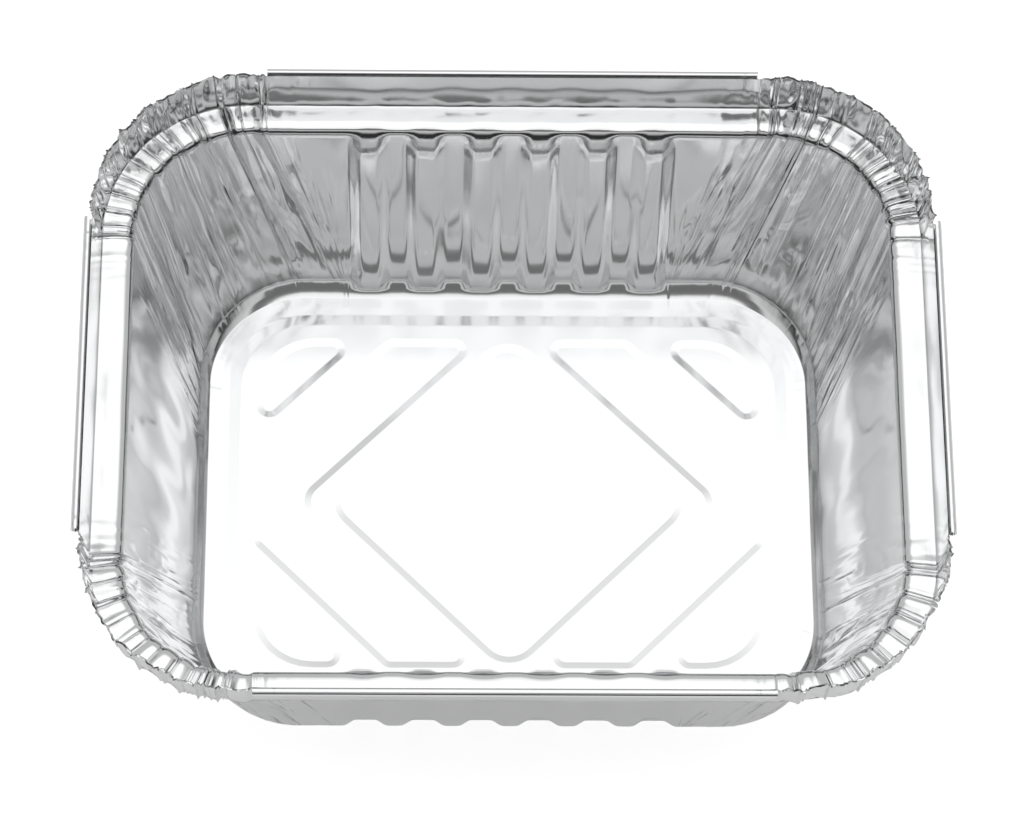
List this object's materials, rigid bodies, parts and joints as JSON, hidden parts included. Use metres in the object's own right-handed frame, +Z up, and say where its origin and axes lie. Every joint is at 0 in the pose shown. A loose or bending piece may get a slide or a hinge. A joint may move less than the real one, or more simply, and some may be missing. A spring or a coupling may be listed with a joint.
{
  "type": "aluminium foil tray",
  "caption": "Rectangular foil food tray with leaning walls, ribs on the long walls, pleated corners, a lid ledge and a rim rolled along each straight side.",
  "frame": {"origin": "middle of the base, on the surface that the tray stands on", "axes": "+X along the longer side of the tray, +Y across it, +Z up through the open mouth"},
  "size_m": [0.146, 0.1164, 0.053],
  "materials": {
    "foil": "bright rolled foil"
  },
  "bodies": {
    "root": {"foil_tray": "foil"}
  },
  "joints": []
}
